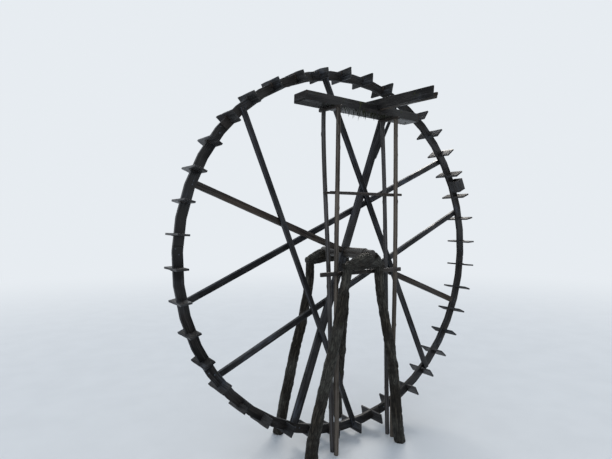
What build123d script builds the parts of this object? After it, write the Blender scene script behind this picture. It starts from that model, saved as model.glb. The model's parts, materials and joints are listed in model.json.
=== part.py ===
from build123d import *

import os
from collections import namedtuple
from math import atan2, cos, degrees, floor, hypot, radians, sin

# A timber water-lifting wheel that turns between two bents of crooked trunks, beside a tower
# of thin poles that carries a plank trough and its outlet. Everything is worked out around the
# hub, with X across the wheel, Y along the axle and Z up, and set down on the floor at the end.
# Angles run from +X towards +Z. The near side is -Y. Sizes are in millimetres.

# Wheel boards
BOARD_TIP_RADIUS = 2500
BOARD_DEPTH = 140
BOARD_LENGTH = 431
BOARD_THICKNESS = 25
BOARD_COUNT = 40
FIRST_BOARD_ANGLE = 2.26
BOARD_GROUPS = 4

# Rim of felloes, hewn in straight facets and half-lapped
FELLOE_COUNT = 10
FACETS_PER_FELLOE = 4
RIM_CORNER_INSET = 24
RIM_DEPTH = 125
RIM_THICKNESS = 50
LAP_LENGTH = 130
SLOT_SHARE = 0.45

# Arms
ARM_THICKNESS = 50
ARM_END_INSET = 50
TENON_LENGTH = 40
TENON_SHARE = 0.36
TENON_WIDTH_SHARE = 0.66
Chord = namedtuple("Chord", "first second width")
NEAR_CHORDS = {"arm_near_left": Chord(132.1, 272.5, 70), "arm_near_right": Chord(100.3, 309.85, 78)}
FAR_CHORDS = {"arm_far_upper": Chord(192.5, 35.4, 80), "arm_far_lower": Chord(216.0, 14.1, 80)}
RISING_ARM_ANGLE = 69.5
RISING_ARM_ASIDE = 45
RISING_ARM_WIDTH = 116
LEVEL_ARM_ANGLE = 158.7
LEVEL_ARM_WIDTH = 86
STRUT_RIM_ANGLE = 66.3
STRUT_SLOPE = 62.4
STRUT_WIDTH = 46
STRUT_THICKNESS = 32

# Lifting box on the near face of the rim, open on its leading side
LIFT_BOX_AFTER_BOARDS = 2.5
LIFT_BOX_RADIAL = 162
LIFT_BOX_TIP_INSET = 14
LIFT_BOX_TANGENTIAL = 190
LIFT_BOX_WIDTH = 180
LIFT_BOX_PLANK = 15

# Axle
AXLE_RADIUS = 75
AXLE_HALF_LENGTH = 400
JOURNAL_RADIUS = 60
JOURNAL_CLEARANCE = 0.3
JOURNAL_PAST_MIDDLE = 15

# Bents that carry the journals
GROUND_CLEARANCE = 60
BENT_OFFSET = 530
CROWN_RADIUS = 110
CROWN_END_RADIUS = 72
CROWN_TOP = 45
CROWN_OVERHANG = 45
CROWN_CURVE = 1.1
SEAT_SHARE = 0.5
SEAT_MARGIN = 12
Trunk = namedtuple("Trunk", "top_x drop foot_x foot_out top_radius foot_radius bends")
NEAR_TRUNKS = {
    "near_leg_left": Trunk(-400, 82, -1000, 40, 66, 84, ((0.3, -34), (0.6, 5), (0.85, 4))),
    "near_leg_right": Trunk(120, 78, 475, 40, 66, 80, ((0.3, 26), (0.6, 23), (0.85, -20))),
}
FAR_TRUNKS = {
    "far_leg_left": Trunk(-255, 75, -775, 40, 66, 82, ((0.3, 15), (0.6, 45), (0.85, 55))),
    "far_leg_right": Trunk(400, -12, 300, 40, 66, 80, ((0.3, -24), (0.6, 14), (0.85, 12))),
}

# Trough that lies across the tower, parallel to the wheel
TROUGH_PLANK = 25
TROUGH_LEFT = -935
TROUGH_RIGHT = 1010
TROUGH_WIDTH = 283
TROUGH_HEIGHT = 120
TROUGH_FAR_FACE = -105
TROUGH_BOTTOM = 1885
TROUGH_SLOPE = 1.8

# Outlet that leads out over the trough's near wall
OUTLET_X = 216
OUTLET_SILL = 48
OUTLET_SLOPE = 1.9
OUTLET_BOARD_THICKNESS = 25
OUTLET_BOARD_HEIGHT = 150
OUTLET_BOARD_REACH = 962
GUTTER_WIDTH = 100
GUTTER_HEIGHT = 98
GUTTER_DROP = 4
GUTTER_INSIDE = 170
GUTTER_REACH = 955
GUTTER_GROOVE_RADIUS = 34
GUTTER_GROOVE_DEPTH = 60
GUTTER_EDGE_RADIUS = 34

# Tower of poles
POLE_RADIUS = 30
Pole = namedtuple("Pole", "top foot bends")
POLES = {
    "pole_far_left": Pole((-512, -165), (-465, -300), ((0.3, 8), (0.62, 6), (0.85, -14))),
    "pole_near_left": Pole((-473, -428), (-480, -400), ((0.3, -8), (0.62, -17), (0.85, -4))),
    "pole_far_right": Pole((512, -165), (500, -300), ((0.3, 8), (0.62, 22), (0.85, 13))),
    "pole_near_right": Pole((519, -428), (495, -400), ((0.3, 3), (0.62, 18), (0.85, 7))),
}
STICK_SIZE = 45
STICK_FAR_END = -88
STICK_NEAR_END = -485
TIE_BITE = 8
UPPER_TIE_Z = 800
UPPER_TIE_HEIGHT = 36
UPPER_TIE_THICKNESS = 32
UPPER_TIE_LEFT = -570
UPPER_TIE_RIGHT = 675
LOWER_TIE_Z = -228
LOWER_TIE_HEIGHT = 56
LOWER_TIE_LEFT = -770
LOWER_TIE_RIGHT = 590

BOARD_STEP = 360 / BOARD_COUNT
BOARD_INNER_RADIUS = BOARD_TIP_RADIUS - BOARD_DEPTH
RIM_CORNER_RADIUS = BOARD_TIP_RADIUS - RIM_CORNER_INSET
RIM_INNER_CORNER_RADIUS = RIM_CORNER_RADIUS - RIM_DEPTH
FELLOE_ANGLE = 360 / FELLOE_COUNT
FACET_ANGLE = FELLOE_ANGLE / FACETS_PER_FELLOE
SLOT_BOTTOM_RADIUS = RIM_CORNER_RADIUS * cos(radians(FACET_ANGLE / 2)) - RIM_DEPTH * SLOT_SHARE
FIRST_CORNER_ANGLE = FIRST_BOARD_ANGLE - BOARD_STEP / 2
LAP_HALF_ANGLE = degrees(LAP_LENGTH / 2 / RIM_CORNER_RADIUS)
ARM_END_RADIUS = RIM_CORNER_RADIUS - ARM_END_INSET
HALF_RIM = RIM_THICKNESS / 2
JOURNAL_HALF_LENGTH = BENT_OFFSET + JOURNAL_PAST_MIDDLE
TENON_THICKNESS = RIM_THICKNESS * TENON_SHARE
FLOOR_Z = -(BOARD_TIP_RADIUS + GROUND_CLEARANCE)
CROWN_AXIS_Z = CROWN_TOP - CROWN_RADIUS
LIFT_BOX_ANGLE = FIRST_BOARD_ANGLE + BOARD_STEP * LIFT_BOX_AFTER_BOARDS
TROUGH_NEAR_FACE = TROUGH_FAR_FACE - TROUGH_WIDTH
OUTLET_LEAN = OUTLET_BOARD_HEIGHT * sin(radians(OUTLET_SLOPE))
NEAR_REACH = OUTLET_BOARD_REACH * cos(radians(OUTLET_SLOPE)) + OUTLET_LEAN - TROUGH_NEAR_FACE
FAR_REACH = BENT_OFFSET + max(trunk.foot_out + trunk.foot_radius for trunk in FAR_TRUNKS.values())
HUB_Y = (NEAR_REACH - FAR_REACH) / 2
HUB = Location((0, HUB_Y, -FLOOR_Z))
ALONG_TROUGH = Location((0, 0, TROUGH_BOTTOM), (0, TROUGH_SLOPE, 0))
ALONG_OUTLET = Location((OUTLET_X, TROUGH_NEAR_FACE, OUTLET_SILL), (OUTLET_SLOPE, 0, 0))
CrossingArm = namedtuple("CrossingArm", "angle aside width")
RISING_ARM = CrossingArm(RISING_ARM_ANGLE, RISING_ARM_ASIDE, RISING_ARM_WIDTH)
LEVEL_ARM = CrossingArm(LEVEL_ARM_ANGLE, 0, LEVEL_ARM_WIDTH)


def polar(radius, angle):
    """Point of the wheel's plane at a radius and an angle."""
    return radius * cos(radians(angle)), radius * sin(radians(angle))


def prism(points, low_y, high_y):
    """Outline in the wheel's plane, carried along the axle from low_y to high_y."""
    plane = Plane(origin=(0, high_y, 0), x_dir=(1, 0, 0), z_dir=(0, -1, 0))
    outline = plane * Polygon(*points, align=None)
    return extrude(outline, amount=high_y - low_y, dir=(0, -1, 0))


def bar(start, end, width, low_y, high_y):
    """Straight bar in the wheel's plane from start to end."""
    length = hypot(end[0] - start[0], end[1] - start[1])
    side_x = (start[1] - end[1]) / length * width / 2
    side_z = (end[0] - start[0]) / length * width / 2
    corners = [
        (start[0] - side_x, start[1] - side_z),
        (end[0] - side_x, end[1] - side_z),
        (end[0] + side_x, end[1] + side_z),
        (start[0] + side_x, start[1] + side_z),
    ]
    return prism(corners, low_y, high_y)


def radial_bar(angle, inner, outer, width, low_y, high_y):
    """Straight bar along a radius of the wheel."""
    return bar(polar(inner, angle), polar(outer, angle), width, low_y, high_y)


def block(low, high):
    """Box between its lowest and its highest corner."""
    size = [high[i] - low[i] for i in range(3)]
    middle = [(high[i] + low[i]) / 2 for i in range(3)]
    return Location(tuple(middle)) * Box(*size)


def rim_point(angle, corner_radius):
    """Point on an edge of the rim, which is straight between two corners."""
    from_middle = (angle - FIRST_CORNER_ANGLE) % FACET_ANGLE - FACET_ANGLE / 2
    radius = corner_radius * cos(radians(FACET_ANGLE / 2)) / cos(radians(from_middle))
    return polar(radius, angle)


def rim_outline(first_angle, last_angle):
    """Outline of a stretch of the rim, with the corners that lie inside it."""
    corner = FIRST_CORNER_ANGLE + FACET_ANGLE * (floor((first_angle - FIRST_CORNER_ANGLE) / FACET_ANGLE) + 1)
    angles = [first_angle]
    while corner < last_angle:
        angles.append(corner)
        corner += FACET_ANGLE
    angles.append(last_angle)
    outer = [rim_point(angle, RIM_CORNER_RADIUS) for angle in angles]
    inner = [rim_point(angle, RIM_INNER_CORNER_RADIUS) for angle in reversed(angles)]
    return outer + inner


def board_angles():
    """Angles of all boards, in order around the wheel."""
    return [FIRST_BOARD_ANGLE + BOARD_STEP * index for index in range(BOARD_COUNT)]


def make_board(angle):
    """Paddle board, notched from its inner edge to sit across the rim."""
    half = BOARD_LENGTH / 2
    board = radial_bar(angle, BOARD_INNER_RADIUS, BOARD_TIP_RADIUS, BOARD_THICKNESS, -half, half)
    reach = BOARD_INNER_RADIUS - BOARD_THICKNESS
    return board - radial_bar(angle, reach, SLOT_BOTTOM_RADIUS, 2 * BOARD_THICKNESS, -HALF_RIM, HALF_RIM)


def along_arm(arm, first, last, width, low_y, high_y):
    """Bar on the centre line of a crossing arm, from one distance along it to another."""
    aside = polar(arm.aside, arm.angle + 90)
    ends = [polar(distance, arm.angle) for distance in (first, last)]
    start, end = [(x + aside[0], z + aside[1]) for x, z in ends]
    return bar(start, end, width, low_y, high_y)


def arm_tenon(arm, side):
    """Tenon at one end of a crossing arm, which enters the felloe."""
    inner = side * (RIM_INNER_CORNER_RADIUS - TENON_LENGTH)
    outer = side * (RIM_INNER_CORNER_RADIUS + TENON_LENGTH)
    return along_arm(arm, inner, outer, arm.width * TENON_WIDTH_SHARE, -TENON_THICKNESS / 2, TENON_THICKNESS / 2)


def make_felloe(index):
    """Felloe with a half-lap at each end, slots for its boards and mortises for the arms."""
    start = FIRST_CORNER_ANGLE + FELLOE_ANGLE * index
    near = prism(rim_outline(start - LAP_HALF_ANGLE, start + FELLOE_ANGLE - LAP_HALF_ANGLE), -HALF_RIM, 0)
    far = prism(rim_outline(start + LAP_HALF_ANGLE, start + FELLOE_ANGLE + LAP_HALF_ANGLE), 0, HALF_RIM)
    felloe = near + far
    reach = FELLOE_ANGLE / 2 + BOARD_STEP
    middle = start + FELLOE_ANGLE / 2
    for angle in board_angles():
        if abs((angle - middle + 180) % 360 - 180) < reach:
            felloe -= radial_bar(angle, SLOT_BOTTOM_RADIUS, BOARD_TIP_RADIUS, BOARD_THICKNESS, -HALF_RIM, HALF_RIM)
    for arm in (RISING_ARM, LEVEL_ARM):
        for side in (-1, 1):
            outward = polar(side, arm.angle - middle)[0]
            if outward > cos(radians(reach)):
                felloe -= arm_tenon(arm, side)
    return felloe


def make_chord(chord, low_y):
    """Arm across one face of the rim, between two points of it, notched where a board passes its end."""
    start = polar(ARM_END_RADIUS, chord.first)
    end = polar(ARM_END_RADIUS, chord.second)
    high_y = low_y + ARM_THICKNESS
    arm = bar(start, end, chord.width, low_y, high_y)
    for angle in board_angles():
        if any(abs((angle - at + 180) % 360 - 180) < BOARD_STEP / 3 for at in (chord.first, chord.second)):
            arm -= radial_bar(angle, BOARD_INNER_RADIUS, BOARD_TIP_RADIUS, BOARD_THICKNESS, low_y, high_y)
    return arm


def rim_inside():
    """Space inside the rim, as deep as the rim is thick."""
    corners = [FIRST_CORNER_ANGLE + FACET_ANGLE * index for index in range(FELLOE_COUNT * FACETS_PER_FELLOE)]
    return prism([polar(RIM_INNER_CORNER_RADIUS, angle) for angle in corners], -HALF_RIM, HALF_RIM)


def make_crossing_arm(arm, other, cut_low_y, cut_high_y):
    """Arm through the axle, halved where the other one crosses it and tenoned into the rim."""
    reach = RIM_CORNER_RADIUS
    timber = along_arm(arm, -reach, reach, arm.width, -HALF_RIM, HALF_RIM) & rim_inside()
    timber = timber + arm_tenon(arm, -1) + arm_tenon(arm, 1)
    half = arm.width + other.width
    return timber - along_arm(other, -half, half, other.width, cut_low_y, cut_high_y)


def make_strut():
    """Thin strut from the rim down to the side of the rising arm."""
    start = rim_point(STRUT_RIM_ANGLE, RIM_CORNER_RADIUS)
    back = polar(BOARD_TIP_RADIUS, STRUT_SLOPE)
    end = (start[0] - back[0], start[1] - back[1])
    strut = bar(start, end, STRUT_WIDTH, -STRUT_THICKNESS / 2, STRUT_THICKNESS / 2) & rim_inside()
    rising = polar(BOARD_TIP_RADIUS, RISING_ARM_ANGLE)
    aside = polar(BOARD_TIP_RADIUS, RISING_ARM_ANGLE + 90)
    edge = polar(RISING_ARM_WIDTH / 2 - RISING_ARM_ASIDE, RISING_ARM_ANGLE - 90)
    beyond = [
        (edge[0] - rising[0], edge[1] - rising[1]),
        (edge[0] + rising[0], edge[1] + rising[1]),
        (edge[0] + rising[0] + aside[0], edge[1] + rising[1] + aside[1]),
        (edge[0] - rising[0] + aside[0], edge[1] - rising[1] + aside[1]),
    ]
    return strut - prism(beyond, -RIM_THICKNESS, RIM_THICKNESS)


def make_lift_box():
    """Box of thin planks nailed to the rim's near face, open on its leading side."""
    outer_radius = BOARD_TIP_RADIUS - LIFT_BOX_TIP_INSET
    inner_radius = outer_radius - LIFT_BOX_RADIAL
    near = -HALF_RIM - LIFT_BOX_WIDTH
    half = LIFT_BOX_TANGENTIAL / 2
    wall = LIFT_BOX_PLANK
    shell = block((inner_radius, near, -half), (outer_radius, -HALF_RIM, half))
    hollow = block((inner_radius + wall, near + wall, wall - half), (outer_radius - wall, -HALF_RIM - wall, half))
    return Rot(0, -LIFT_BOX_ANGLE, 0) * (shell - hollow)


def make_axle():
    """Round axle with thinner journals, and a mortise for each crossing arm."""
    log = Cylinder(AXLE_RADIUS, 2 * AXLE_HALF_LENGTH, rotation=(90, 0, 0))
    axle = log + Cylinder(JOURNAL_RADIUS, 2 * JOURNAL_HALF_LENGTH, rotation=(90, 0, 0))
    reach = 2 * AXLE_RADIUS
    for arm in (RISING_ARM, LEVEL_ARM):
        axle -= along_arm(arm, -reach, reach, arm.width, -HALF_RIM, HALF_RIM)
    return axle


def crown_z(trunk, share):
    """Height of a crown's centre line, at a share of the way from the journal to a trunk."""
    return CROWN_AXIS_Z - trunk.drop * share ** CROWN_CURVE


def seat_z(trunk):
    """Height of the flat seat where a crown rests on a trunk."""
    return crown_z(trunk, 1) - CROWN_END_RADIUS * SEAT_SHARE


def crown_ring(trunk, share, bent_y):
    """Round section of a crown, at a share of the way from the journal to a trunk."""
    radius = CROWN_RADIUS + (CROWN_END_RADIUS - CROWN_RADIUS) * min(share, 1) ** 2
    middle = (trunk.top_x * share, bent_y, crown_z(trunk, share))
    return Plane(middle, x_dir=(0, 1, 0), z_dir=(1, 0, 0)) * Circle(radius)


def make_crown(trunks, bent_y, tie):
    """Log bowed in straight stretches over two trunks, notched for journal and tie, flat at each seat."""
    left, right = trunks.values()
    rings = []
    for trunk, shares in ((left, (1, 0.8, 0.6, 0.4, 0.2, 0)), (right, (0.2, 0.4, 0.6, 0.8, 1))):
        end_share = 1 + CROWN_OVERHANG / abs(trunk.top_x)
        shares = (end_share,) + shares if trunk is left else shares + (end_share,)
        rings += [crown_ring(trunk, share, bent_y) for share in shares]
    crown = loft(rings, ruled=True)
    across = 2 * CROWN_RADIUS
    notch_radius = JOURNAL_RADIUS + JOURNAL_CLEARANCE
    crown -= Location((0, bent_y, 0)) * Cylinder(notch_radius, 2 * across, rotation=(90, 0, 0))
    crown -= block((-notch_radius, bent_y - across, 0), (notch_radius, bent_y + across, across))
    for trunk, side in ((left, -1), (right, 1)):
        inner = trunk.top_x - side * (trunk.top_radius + SEAT_MARGIN)
        outer = trunk.top_x + side * (CROWN_OVERHANG + across)
        low = (min(inner, outer), bent_y - across, seat_z(trunk) - 3 * across)
        high = (max(inner, outer), bent_y + across, seat_z(trunk))
        crown -= block(low, high)
    return crown - tie


def bent_line(start, end, bends, share):
    """Value at a share of the way from start to end, with the sideways bends added between."""
    offset = dict(bends).get(share, 0)
    return start + (end - start) * share + offset


def make_trunk(trunk, bent_y, tie):
    """Crooked round trunk from the floor to the crown's seat, notched where the lower tie meets it."""
    out = 1 if bent_y > 0 else -1
    rings = []
    for share in [0] + [bend[0] for bend in trunk.bends] + [1]:
        x = bent_line(trunk.foot_x, trunk.top_x, trunk.bends, share)
        y = bent_y + out * trunk.foot_out * (1 - share)
        z = FLOOR_Z + (seat_z(trunk) - FLOOR_Z) * share
        radius = trunk.foot_radius + (trunk.top_radius - trunk.foot_radius) * share
        rings.append(Location((x, y, z)) * Circle(radius))
    return loft(rings) - tie


def pole_y(pole, z):
    """Depth of a pole's centre line at a height."""
    share = (z - FLOOR_Z) / (TROUGH_BOTTOM - FLOOR_Z)
    return pole.foot[1] + (pole.top[1] - pole.foot[1]) * share


def make_pole(pole, ties):
    """Thin pole from the floor to its cross stick, cut flat on top and notched for the ties."""
    rings = []
    for share in [0] + [bend[0] for bend in pole.bends] + [1]:
        x = bent_line(pole.foot[0], pole.top[0], pole.bends, share)
        z = FLOOR_Z + (TROUGH_BOTTOM - FLOOR_Z) * share
        rings.append(Location((x, pole_y(pole, z), z)) * Circle(POLE_RADIUS))
    top_x, top_y = pole.top
    rings.append(Location((top_x, top_y, TROUGH_BOTTOM + 2 * POLE_RADIUS)) * Circle(POLE_RADIUS))
    shaft = loft(rings)
    reach = TROUGH_RIGHT - TROUGH_LEFT
    shaft -= ALONG_TROUGH * block((-reach, -reach, -STICK_SIZE), (reach, reach, reach))
    for tie in ties:
        shaft -= tie
    return shaft


def make_upper_tie(row, side):
    """Rail let a little into one row of poles, on the side of the other row."""
    seat = pole_y(POLES["pole_" + row + "_left"], UPPER_TIE_Z) + side * (POLE_RADIUS - TIE_BITE)
    back = seat + side * UPPER_TIE_THICKNESS
    low = (UPPER_TIE_LEFT, min(seat, back), UPPER_TIE_Z - UPPER_TIE_HEIGHT / 2)
    return block(low, (UPPER_TIE_RIGHT, max(seat, back), UPPER_TIE_Z + UPPER_TIE_HEIGHT / 2))


def make_lower_tie():
    """Plank below the axle, let into the near poles and into the near trunks in front of them."""
    trunk = NEAR_TRUNKS["near_leg_left"]
    far_y = pole_y(POLES["pole_near_right"], LOWER_TIE_Z) - POLE_RADIUS + TIE_BITE
    near_y = trunk.top_radius - TIE_BITE - BENT_OFFSET
    low = (LOWER_TIE_LEFT, near_y, LOWER_TIE_Z - LOWER_TIE_HEIGHT / 2)
    return block(low, (LOWER_TIE_RIGHT, far_y, LOWER_TIE_Z + LOWER_TIE_HEIGHT / 2))


def make_stick(side):
    """Square stick over a far and a near pole, which carries the trough."""
    far, near = POLES["pole_far_" + side].top, POLES["pole_near_" + side].top
    half = STICK_SIZE / 2
    stick = block((-half, STICK_NEAR_END - far[1], -STICK_SIZE), (half, STICK_FAR_END - far[1], 0))
    turn = degrees(atan2(near[0] - far[0], far[1] - near[1]))
    return ALONG_TROUGH * Location((*far, 0), (0, 0, turn)) * stick


def make_trough():
    """Planks of the trough, by name."""
    far, near = TROUGH_FAR_FACE, TROUGH_NEAR_FACE
    far_inside, near_inside = far - TROUGH_PLANK, near + TROUGH_PLANK
    left_inside, right_inside = TROUGH_LEFT + TROUGH_PLANK, TROUGH_RIGHT - TROUGH_PLANK
    near_wall = block((TROUGH_LEFT, near, 0), (TROUGH_RIGHT, near_inside, TROUGH_HEIGHT))
    gutter_right = OUTLET_BOARD_THICKNESS + GUTTER_WIDTH
    reach = 2 * TROUGH_PLANK
    near_wall -= ALONG_OUTLET * block((0, -reach, 0), (gutter_right, reach, TROUGH_HEIGHT))
    near_wall -= ALONG_OUTLET * block((OUTLET_BOARD_THICKNESS, -reach, -GUTTER_DROP), (gutter_right, reach, 0))
    return {
        "trough_floor": block((TROUGH_LEFT, near_inside, 0), (TROUGH_RIGHT, far_inside, TROUGH_PLANK)),
        "trough_near_wall": near_wall,
        "trough_far_wall": block((TROUGH_LEFT, far_inside, 0), (TROUGH_RIGHT, far, TROUGH_HEIGHT)),
        "trough_left_end": block(
            (TROUGH_LEFT, near_inside, TROUGH_PLANK), (left_inside, far_inside, TROUGH_HEIGHT)
        ),
        "trough_right_end": block(
            (right_inside, near_inside, TROUGH_PLANK), (TROUGH_RIGHT, far_inside, TROUGH_HEIGHT)
        ),
    }


def make_outlet_board():
    """Board on edge that crosses the trough and leads out over the near wall beside the gutter."""
    low = (0, -OUTLET_BOARD_REACH, 0)
    board = ALONG_OUTLET * block(low, (OUTLET_BOARD_THICKNESS, TROUGH_WIDTH, OUTLET_BOARD_HEIGHT))
    far_inside = TROUGH_FAR_FACE - TROUGH_PLANK
    beyond = block((0, far_inside, 0), (TROUGH_RIGHT, far_inside + TROUGH_WIDTH, 2 * OUTLET_BOARD_HEIGHT))
    return board - beyond


def make_gutter():
    """Log hollowed into a gutter, flat below where it rests in the wall's notch."""
    left, right = OUTLET_BOARD_THICKNESS, OUTLET_BOARD_THICKNESS + GUTTER_WIDTH
    top = GUTTER_HEIGHT - GUTTER_DROP
    log = block((left, -GUTTER_REACH, -GUTTER_DROP), (right, GUTTER_INSIDE, top))
    lower_edges = log.edges().filter_by(Axis.Y).group_by(Axis.Z)[0]
    log = fillet(lower_edges, GUTTER_EDGE_RADIUS)
    middle = (left + right) / 2
    groove_z = top - GUTTER_GROOVE_DEPTH + GUTTER_GROOVE_RADIUS
    reach = 2 * GUTTER_REACH
    log -= Location((middle, 0, groove_z)) * Cylinder(GUTTER_GROOVE_RADIUS, 2 * reach, rotation=(90, 0, 0))
    low = (middle - GUTTER_GROOVE_RADIUS, -reach, groove_z)
    log -= block(low, (middle + GUTTER_GROOVE_RADIUS, reach, 2 * top))
    return ALONG_OUTLET * log


def make_wheel():
    """Pieces that turn, by name."""
    pieces = {"axle": make_axle(), "lift_box": make_lift_box(), "arm_strut": make_strut()}
    for index in range(FELLOE_COUNT):
        pieces[f"rim_felloe_{index + 1:02d}"] = make_felloe(index)
    boards = [make_board(angle) for angle in board_angles()]
    for index in range(BOARD_GROUPS):
        first = index * BOARD_COUNT // BOARD_GROUPS
        last = (index + 1) * BOARD_COUNT // BOARD_GROUPS
        pieces[f"paddle_boards_{index + 1}"] = Compound(boards[first:last])
    for name, chord in NEAR_CHORDS.items():
        pieces[name] = make_chord(chord, -HALF_RIM - ARM_THICKNESS)
    for name, chord in FAR_CHORDS.items():
        pieces[name] = make_chord(chord, HALF_RIM)
    pieces["arm_cross_rising"] = make_crossing_arm(RISING_ARM, LEVEL_ARM, 0, HALF_RIM)
    pieces["arm_cross_level"] = make_crossing_arm(LEVEL_ARM, RISING_ARM, -HALF_RIM, 0)
    return pieces


def make_frame():
    """Pieces that stand still, by name."""
    far_tie, near_tie, lower_tie = make_upper_tie("far", -1), make_upper_tie("near", 1), make_lower_tie()
    pieces = {"tie_upper_far": far_tie, "tie_upper_near": near_tie, "tie_lower": lower_tie}
    for name, pole in POLES.items():
        ties = (far_tie,) if "far" in name else (near_tie, lower_tie)
        pieces[name] = make_pole(pole, ties)
    for side in ("left", "right"):
        pieces["stick_" + side] = make_stick(side)
    for side, trunks, bent_y in (("near", NEAR_TRUNKS, -BENT_OFFSET), ("far", FAR_TRUNKS, BENT_OFFSET)):
        pieces[side + "_crown"] = make_crown(trunks, bent_y, lower_tie)
        for name, trunk in trunks.items():
            pieces[name] = make_trunk(trunk, bent_y, lower_tie)
    trough = {**make_trough(), "outlet_board": make_outlet_board(), "outlet_gutter": make_gutter()}
    for name, plank in trough.items():
        pieces[name] = ALONG_TROUGH * plank
    return pieces


os.makedirs("parts", exist_ok=True)
for name, piece in {**make_wheel(), **make_frame()}.items():
    export_step(HUB * piece, f"parts/{name}.step")
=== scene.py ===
import json
from collections import namedtuple
from math import cos, pi, radians, sin

import bpy
import numpy as np
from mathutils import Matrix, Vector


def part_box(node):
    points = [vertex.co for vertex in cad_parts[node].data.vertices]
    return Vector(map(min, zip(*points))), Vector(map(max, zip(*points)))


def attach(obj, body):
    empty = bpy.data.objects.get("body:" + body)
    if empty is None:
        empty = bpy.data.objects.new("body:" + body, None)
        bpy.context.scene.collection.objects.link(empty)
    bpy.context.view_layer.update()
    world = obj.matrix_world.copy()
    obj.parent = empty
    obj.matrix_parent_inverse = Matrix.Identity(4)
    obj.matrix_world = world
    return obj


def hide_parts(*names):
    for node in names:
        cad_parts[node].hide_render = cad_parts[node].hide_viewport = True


# A timber water-lifting wheel between two bents of crooked trunks, beside a tower of thin poles
# that carries a plank trough and its outlet. Shapes are worked out around the hub in metres,
# with X across the wheel, Y along the axle and Z up, and are set at the hub when they are made.

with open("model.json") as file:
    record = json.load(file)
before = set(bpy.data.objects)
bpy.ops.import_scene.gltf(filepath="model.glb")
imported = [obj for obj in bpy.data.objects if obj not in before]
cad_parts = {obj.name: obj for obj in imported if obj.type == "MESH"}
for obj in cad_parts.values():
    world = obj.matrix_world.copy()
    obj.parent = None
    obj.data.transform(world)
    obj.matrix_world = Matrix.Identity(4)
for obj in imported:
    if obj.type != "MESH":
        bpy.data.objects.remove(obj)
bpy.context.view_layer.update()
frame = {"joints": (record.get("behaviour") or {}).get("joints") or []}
HUB = np.array(frame["joints"][0]["pos_m"])
FLOOR_Z = -HUB[2]


# Random values and waviness

def cell_values(cells, seed):
    """A fixed value from 0 to 1 for each whole-number cell: what a large sine of its indices leaves after the
    point."""
    turn = cells @ np.array([127.1, 311.7, 74.7]) + 53.3 * seed
    return np.sin(turn) * 43758.5453 % 1


def waviness(points, size, seed=0):
    """Smooth values from -1 to 1: those of a lattice's corners, blended along each axis by 3t^2 - 2t^3."""
    spot = points / np.asarray(size, float)
    cell = np.floor(spot)
    share = spot - cell
    share = share * share * (3 - 2 * share)
    total = 0
    for corner in np.ndindex(2, 2, 2):
        weight = np.where(corner, share, 1 - share).prod(axis=-1)
        total = total + weight * cell_values(cell + corner, seed)
    return 2 * total - 1


# Shapes

Shape = namedtuple("Shape", "points faces grain wear")

# The grain of each timber is moved on by this much for each step of its seed, so that no two look alike
GRAIN_SHIFT = 3.7


def squared_section(side_points=3, top_points=5, corner_points=3):
    """Half of a squared outline, from its left side over the top to its right side, then the same mirrored.
    Each point is a share of the inner rectangle plus a direction in which the rounding is added."""
    rises = np.linspace(0, 1, side_points + 2)[1:-1]
    turns = np.linspace(pi, pi / 2, corner_points)
    left = np.array([[-1, rise, -1, 0] for rise in rises] + [[-1, 1, cos(t), sin(t)] for t in turns])
    top = np.array([[share, 1, 0, 1] for share in np.linspace(-1, 1, top_points + 2)[1:-1]])
    upper = np.concatenate([left, top, left[::-1] * [-1, 1, -1, 1]])
    return np.concatenate([upper, upper[::-1] * [1, -1, 1, -1]])


def round_section(count):
    """Evenly spaced points of a circle, the upper half from left to right and then the same mirrored."""
    turns = pi - (np.arange(count // 2) + 0.5) * 2 * pi / count
    upper = np.stack([0 * turns, 0 * turns, np.cos(turns), np.sin(turns)], axis=1)
    return np.concatenate([upper, upper[::-1] * [1, -1, 1, -1]])


def drawn_in(count, edge):
    """How far each ring of a timber is drawn in: by the edge at both ends, and 0 between."""
    inset = np.zeros(count)
    inset[[0, -1]] = edge
    return inset


def skin(rings):
    """Four-sided faces between neighbouring rings, and across both ends from the upper half to the lower."""
    count, around = rings.shape[:2]
    ring, spot = np.meshgrid(np.arange(count - 1), np.arange(around), indexing="ij")
    after = (spot + 1) % around
    sides = np.stack([ring * around + spot, ring * around + after, (ring + 1) * around + after,
                      (ring + 1) * around + spot], axis=-1).reshape(-1, 4)
    first = np.arange(around // 2 - 1)
    cap = np.stack([first, around - 1 - first, around - 2 - first, first + 1], axis=1)
    return np.concatenate([sides, cap, cap[:, ::-1] + (count - 1) * around])


def outward(points, faces):
    """The faces, turned over if the volume inside them comes out negative."""
    a, b, c, d = (points[faces[:, corner]] for corner in range(4))
    volume = (a * np.cross(b, c)).sum() + (a * np.cross(c, d)).sum()
    return faces if volume > 0 else faces[:, ::-1]


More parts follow.
